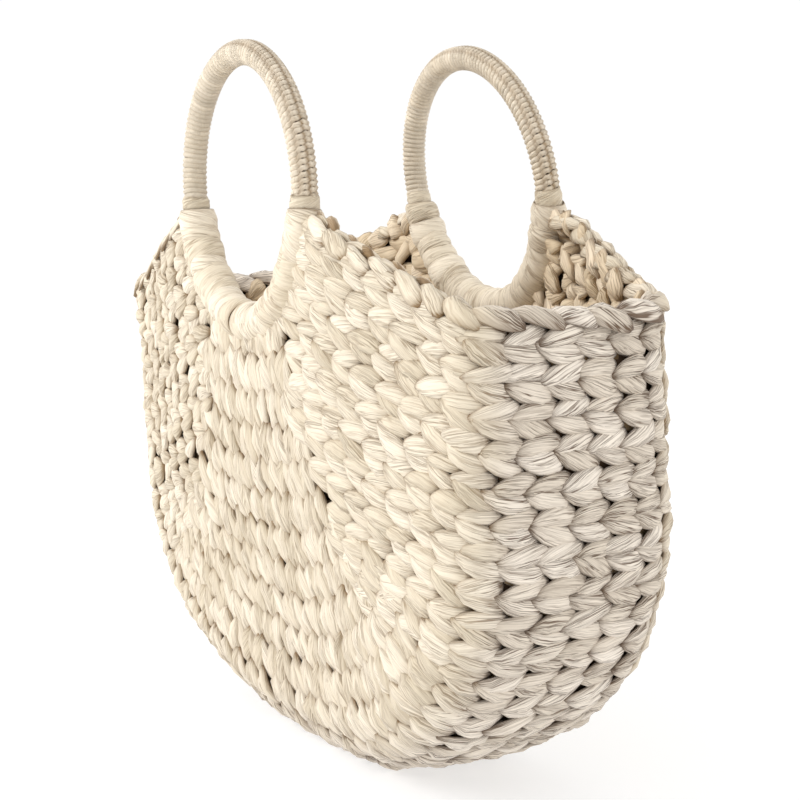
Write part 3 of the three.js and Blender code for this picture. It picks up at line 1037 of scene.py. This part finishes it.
def cord_turns(face, name, seed):
    """The upper half of a ring, wound in slanted turns of thin cord with lines of hitches on it."""
    h = handle_sizes()
    start, end = WINDING_CHANGE - CORD_OVERLAP, math.pi - WINDING_CHANGE + CORD_OVERLAP
    turns = round((end - start) * RING_RADIUS / h.cord_pitch)
    grid, along_share, round_share = rolled_grid(name, CORD_SIDES, turns * CORD_STEPS)
    rng = np.random.default_rng(seed)
    turn_ends, turned = np.arange(turns + 1), along_share * turns
    phase = turned * 2 * math.pi
    wobble = np.interp(turned, turn_ends, rng.normal(0, 0.00010, turns + 1))
    dip, hitch_slant = hitches(phase)
    slant = h.cord_slant * np.sin(phase + 0.6) + wobble + hitch_slant
    centre, away, aside = ring_frame(face, start + (end - start) * along_share + slant / RING_RADIUS)
    radial = round_tube(away, aside, phase)
    helix = centre + radial * (CORD_RADIUS - CORD_THREAD_RADIUS - 0.0005 * dip)[:, None]
    line = helix[np.argsort(along_share, kind="stable")[::CORD_SIDES + 1]]
    heading = np.gradient(line, axis=0)
    heading /= np.linalg.norm(heading, axis=1, keepdims=True)
    beside = np.cross(heading[np.rint(turned * CORD_STEPS).astype(int)], radial)
    turn = 2 * math.pi * round_share
    places = helix + CORD_THREAD_RADIUS * round_tube(radial, beside, turn)
    tone = 0.5 + 0.25 * np.interp(turned, turn_ends, rng.uniform(-1, 1, turns + 1))
    # Painted shade: darker in the dips at the hitches and on each thread's side that faces the ring.
    tuck = np.clip(0.1 + 0.75 * dip + 0.4 * (np.cos(turn) < 0), 0, 1)
    strip = 2 * math.pi * np.array([turns * CORD_RADIUS, CORD_THREAD_RADIUS])
    close_tube(grid, places, strip, tone, tuck)
    return grid


class BAG_OT_cord_turns(bpy.types.Operator):
    """Cord wound round the upper half of both rings"""
    bl_idname = "bag.cord_turns"
    bl_label = "Cord Windings"

    def execute(self, context):
        c = colours()
        straw = straw_material("Twisted Cord", c.cord, c.fold, 1500.0, 0.35, 0.0003, twist=1.1)
        for face, label, seed in ((FRONT, "front", 17), (BACK, "back", 18)):
            cord = cord_turns(face, f"{label}_cord_turns", seed)
            hand_over(cord, straw, "handle_cord", f"{label}_ring_cord_winding")
        return {"FINISHED"}


def wrap_shape():
    """One straw wrap: a flat band round the X axis, as wide as -1 to 1."""
    deselect_all()
    bpy.ops.mesh.primitive_torus_add(major_segments=30, minor_segments=16, major_radius=1,
                                     minor_radius=0.1, generate_uvs=True)
    band = bpy.context.object
    bpy.ops.object.mode_set(mode="EDIT")
    bpy.ops.mesh.select_all(action="SELECT")
    bpy.ops.transform.resize(value=(1, 1, 10), center_override=(0, 0, 0))
    bpy.ops.transform.rotate(value=math.pi / 2, orient_axis="Y", center_override=(0, 0, 0))
    return taken_apart(band)


def band_shares(at):
    """Where each vertex of a wrap lies: across its width, round the ring's tube and in its thickness."""
    return at[:, 0], np.arctan2(at[:, 2], at[:, 1]), (np.hypot(at[:, 1], at[:, 2]) - 1) / 0.1


def wrap_places(face, at, middle, swell, raised, rng):
    """Places of one wrap's vertices. Swell is 0 at the winding's ends and 1 where the straw is thickest."""
    across, turn, depth = band_shares(at)
    steady = 0.3 + 0.7 * swell
    outer = CORD_RADIUS - 0.0001 + (BINDING_RADIUS - CORD_RADIUS) * swell
    outer += (rng.normal(0, 0.00016) + 0.0003 * raised) * steady
    tilt = rng.normal(0.12, 0.06) * steady
    width = handle_sizes().wrap_width * (0.62 + 0.38 * swell) * rng.uniform(0.85, 1.15)
    phases, pleat_count = rng.uniform(0, 6.28, 3), rng.uniform(5, 9)
    crown = (0.0003 + 0.0006 * swell) * (1 - across ** 2)
    pleats = 0.00022 * np.sin(pleat_count * across + 1.1 * np.sin(turn + phases[0]) + phases[1])
    lumps = 0.00035 * np.sin(2 * turn + phases[2])
    radius = outer - 0.0007 + crown + 0.0009 * depth + (pleats + lumps) * (depth > -0.4)
    offset = across * width / 2 * (1 + 0.10 * np.sin(turn + phases[0]))
    offset = offset + tilt * outer * np.sin(turn + phases[1])
    centre, away, aside = ring_frame(face, middle + offset / RING_RADIUS)
    return centre + radius[:, None] * round_tube(away, aside, turn)


def straw_wraps(face, name, seed):
    """The lower half of a ring, wound in wide straw that swells from the cord's thickness."""
    h = handle_sizes()
    shape = wrap_shape()
    rng = np.random.default_rng(seed)
    start, end = math.pi - WINDING_CHANGE, 2 * math.pi + WINDING_CHANGE
    first = start + 0.30 * h.wrap_width / RING_RADIUS
    run = end - start - 2 * (first - start)
    count = round(run * RING_RADIUS / h.wrap_pitch)
    places = []
    for k in range(count + 1):
        middle = first + run * k / count + rng.normal(0, 0.0007) / RING_RADIUS
        from_end = min(middle - start, end - middle) * RING_RADIUS
        swell = smooth(min(1.0, max(0.0, from_end - 0.003) / STRAW_SWELL))
        places.append(wrap_places(face, shape["at"], middle, swell, k % 2, rng))
    around, across = shape["uv"][:, 0], shape["uv"][:, 1]
    base = np.stack([around * 2 * math.pi * BINDING_RADIUS, across * 2 * h.wrap_width], 1)
    corners = base[None] + rng.uniform(0, 4, (len(places), 1, 2))
    width_share, _turn, depth_share = band_shares(shape["at"])
    # Painted shade: darker at each wrap's two edges, where the next wrap overlaps, and on its inner face.
    tuck = np.clip(np.abs(width_share) ** 4 * 0.5 + 0.3 * (depth_share < 0), 0, 1)
    tones = rng.uniform(0.1, 1, len(places))
    return joined_copies(name, shape, np.array(places), corners, tones, np.tile(tuck, (len(places), 1)))


class BAG_OT_straw_wraps(bpy.types.Operator):
    """Wide straw wound round the lower half of both rings"""
    bl_idname = "bag.straw_wraps"
    bl_label = "Straw Bindings"

    def execute(self, context):
        straw = straw_material("Binding Straw", colours().straw, colours().fold, 1100.0, 0.6, 0.0008)
        for face, label, seed in ((FRONT, "front", 19), (BACK, "back", 20)):
            wraps = straw_wraps(face, f"{label}_straw_wraps", seed)
            hand_over(wraps, straw, "binding_straw", f"{label}_ring_straw_binding")
        return {"FINISHED"}


# Where the rings are bound to the panels

STRAND_COUNT = 30
STRAND_HALF_ARC = math.radians(70)
STRAND_REACH = 0.034


def seat_path(face, angle):
    """A strand's line, from the front of the ring's tube straight away from the ring onto the panel."""
    radius = np.linspace(RING_RADIUS - 0.005, SEAT_RADIUS + STRAND_REACH, 50)
    centre = ring_point(face, radius, np.full(50, angle))
    bulge = np.sqrt(np.clip(BINDING_RADIUS ** 2 - (radius - RING_RADIUS) ** 2, 0, None))
    tube = np.abs(centre[:, 1] - MIDDLE_Y) + bulge
    panel = panel_depth(face, centre[:, 0], centre[:, 2])
    depth = np.where(radius < SEAT_RADIUS, np.maximum(tube, panel), panel)
    eased = np.convolve(np.pad(depth, 4, mode="edge"), np.ones(9) / 9, mode="valid")
    y = MIDDLE_Y + face * np.maximum(depth - 0.0008, eased)
    points = np.stack([centre[:, 0], y, centre[:, 2]], 1)
    path = finished_path(points, np.tile((0.0, float(face), 0.0), (50, 1)))
    path["length"] = arc_lengths(points)
    return path


def strand_leg(rng):
    """One strand as a leg that points back to the ring, with its own size and turn."""
    leg = {
        "start": 0.0155 + rng.normal(0, 0.0016),
        "side": 1.0,
        "across": 0.0,
        "turn": math.pi + rng.normal(0, 0.16),
        "long": rng.uniform(0.75, 1.25),
        "wide": rng.uniform(0.75, 1.25),
        "tall": 1.0,
        "lift": rng.normal(0.0002, 0.0005),
        "ripple": rng.uniform(0, 6.28),
        "twist": rng.normal(0, 0.2),
        "groove": rng.normal(0.0004, 0.0004),
    }
    return {name: np.array([value]) for name, value in leg.items()}


class BAG_OT_seat_strands(bpy.types.Operator):
    """Strands of straw that come out of the bindings and fan out onto the panels"""
    bl_idname = "bag.seat_strands"
    bl_label = "Seat Strands"

    def execute(self, context):
        shape, size = leg_shape(), strand_size()
        for face, label, seed in ((FRONT, "front", 21), (BACK, "back", 22)):
            rng = np.random.default_rng(seed)
            places = []
            for k in range(STRAND_COUNT):
                share = 2 * (k + 0.5) / STRAND_COUNT - 1
                angle = -math.pi / 2 + STRAND_HALF_ARC * share + rng.normal(0, 0.012)
                places.append(lay_legs(seat_path(face, angle), shape, strand_leg(rng), size))
            strands = legs_piece(f"{label}_seat_strands", shape, np.concatenate(places), size, rng)
            hand_over(strands, crochet_straw(), "crochet_straw")
        return {"FINISHED"}


# Stage

CAMERA_TARGET = Vector((0.0063, 0.0068, 0.1720))
CAMERA_DISTANCE = 0.917
CAMERA_AZIMUTH = math.radians(61.42)
CAMERA_ELEVATION = math.radians(6.75)
CAMERA_ROLL = math.radians(-1.13)
CAMERA_LENS = 81.0
FLOOR_SIZE = 8
# Name, place, size in metres and power in watts of each area light.
LIGHTS = (("key_light", (-0.75, -1.5, 1.1), 0.9, 20), ("fill_light", (1.6, 0.5, 0.9), 1.2, 2))


def pointed_at(obj, target, roll=0.0):
    """Turns a light or a camera to a point."""
    look = (target - obj.location).to_track_quat("-Z", "Y")
    obj.rotation_euler = (look.to_matrix() @ Matrix.Rotation(roll, 3, "Z")).to_euler()


def add_floor():
    deselect_all()
    bpy.ops.mesh.primitive_plane_add(size=FLOOR_SIZE)
    floor = bpy.context.object
    floor.name = "floor"
    white = bpy.data.materials.new("Pale Floor")
    white.use_nodes = True
    shader = white.node_tree.nodes["Principled BSDF"]
    shader.inputs["Base Color"].default_value = (0.45, 0.45, 0.45, 1)
    shader.inputs["Roughness"].default_value = 0.9
    shader.inputs["Emission Color"].default_value = (1, 1, 1, 1)
    shader.inputs["Emission Strength"].default_value = 0.58
    floor.data.materials.append(white)


def add_lights(scene):
    """A white surround and the area lights, turned to the middle of the bag."""
    world = bpy.data.worlds.new("Studio")
    world.use_nodes = True
    background = world.node_tree.nodes["Background"]
    background.inputs["Color"].default_value = (1, 1, 1, 1)
    background.inputs["Strength"].default_value = 1.02
    scene.world = world
    for name, place, size, power in LIGHTS:
        bpy.ops.object.light_add(type="AREA", location=place)
        light = bpy.context.object
        light.name = name
        light.data.size = size
        light.data.energy = power
        pointed_at(light, (CAD_BOX[0] + CAD_BOX[1]) / 2)


def add_camera(scene):
    bpy.ops.object.camera_add()
    camera = bpy.context.object
    camera.data.lens = CAMERA_LENS
    camera.data.clip_start = 0.01
    back = Vector((math.sin(CAMERA_AZIMUTH) * math.cos(CAMERA_ELEVATION),
                   -math.cos(CAMERA_AZIMUTH) * math.cos(CAMERA_ELEVATION),
                   math.sin(CAMERA_ELEVATION)))
    camera.location = CAMERA_TARGET + back * CAMERA_DISTANCE
    pointed_at(camera, CAMERA_TARGET, CAMERA_ROLL)
    scene.camera = camera


class BAG_OT_stage(bpy.types.Operator):
    """Plain pale floor, soft studio light and the camera"""
    bl_idname = "bag.stage"
    bl_label = "Stage"

    def execute(self, context):
        add_floor()
        add_lights(context.scene)
        add_camera(context.scene)
        context.scene.view_settings.view_transform = "Standard"
        return {"FINISHED"}


class BAG_PT_tools(bpy.types.Panel):
    """The bag's pieces, in the order in which they are made"""
    bl_idname = "BAG_PT_tools"
    bl_label = "Straw Basket Bag"
    bl_space_type = "VIEW_3D"
    bl_region_type = "UI"
    bl_category = "Basket Bag"

    def draw(self, context):
        for operator in OPERATORS:
            self.layout.operator(operator.bl_idname)
        for group in (sizes(), handle_sizes(), colours()):
            box = self.layout.box()
            for name in group.__annotations__:
                box.prop(group, name)


GROUPS = {"bag_stitches": StitchSizes, "bag_handles": HandleSizes, "bag_colours": StrawColours}
OPERATORS = (BAG_OT_gap_shade_straw, BAG_OT_panel_stitches, BAG_OT_side_stitches, BAG_OT_inner_stitches,
             BAG_OT_rim_braids, BAG_OT_cord_turns, BAG_OT_straw_wraps, BAG_OT_seat_strands, BAG_OT_stage)


def register():
    for made in (*GROUPS.values(), *OPERATORS, BAG_PT_tools):
        bpy.utils.register_class(made)
    for name, group in GROUPS.items():
        setattr(bpy.types.Scene, name, bpy.props.PointerProperty(type=group))


def unregister():
    for name in GROUPS:
        delattr(bpy.types.Scene, name)
    for made in reversed((*GROUPS.values(), *OPERATORS, BAG_PT_tools)):
        bpy.utils.unregister_class(made)


def main():
    register()
    bpy.ops.bag.gap_straw()
    bpy.ops.bag.panel_stitches()
    bpy.ops.bag.side_stitches()
    bpy.ops.bag.inner_stitches()
    bpy.ops.bag.rim_braids()
    bpy.ops.bag.cord_turns()
    bpy.ops.bag.straw_wraps()
    bpy.ops.bag.seat_strands()
    bpy.ops.bag.stage()


if __name__ == "__main__":
    main()
